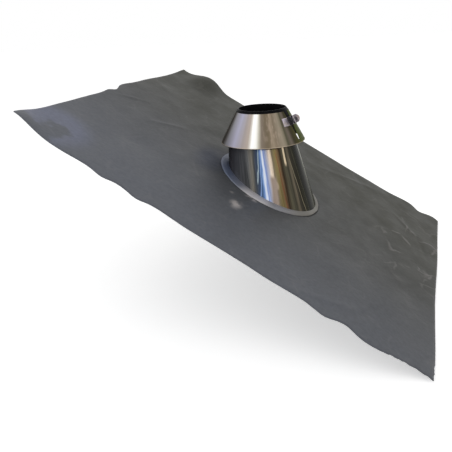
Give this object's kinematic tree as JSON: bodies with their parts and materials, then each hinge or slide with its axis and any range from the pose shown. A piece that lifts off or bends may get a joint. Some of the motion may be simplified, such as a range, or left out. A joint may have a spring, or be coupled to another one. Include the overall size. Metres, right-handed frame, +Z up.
{
  "type": "pipe flashing boot",
  "caption": "Pitched-roof flue flashing: a malleable lead apron, a polished oblique steel cone and a split storm collar with a rubber seal.",
  "frame": {"origin": "on the flue's axis, at the lower edge of the rubber seal's bore", "axes": "+Z up along the flue; +X level and down the roof's slope; +Y across the roof"},
  "size_m": [0.8858, 0.9383, 0.5219],
  "materials": {
    "lead": "dull rolled lead sheet, faintly blue grey, with soft creases",
    "polished_steel": "mirror-polished stainless steel sheet",
    "brushed_steel": "brushed stainless steel sheet",
    "solder": "smooth satin solder, lighter than the lead",
    "zinc_steel": "bright zinc-plated fasteners",
    "rubber": "glossy black rubber"
  },
  "bodies": {
    "root": {"lead_apron": "lead", "flashing_cone": "polished_steel", "foot_bead": "solder", "storm_collar": "brushed_steel", "collar_seal": "rubber", "clamp_screw": "zinc_steel", "clamp_nut": "zinc_steel"}
  },
  "joints": []
}
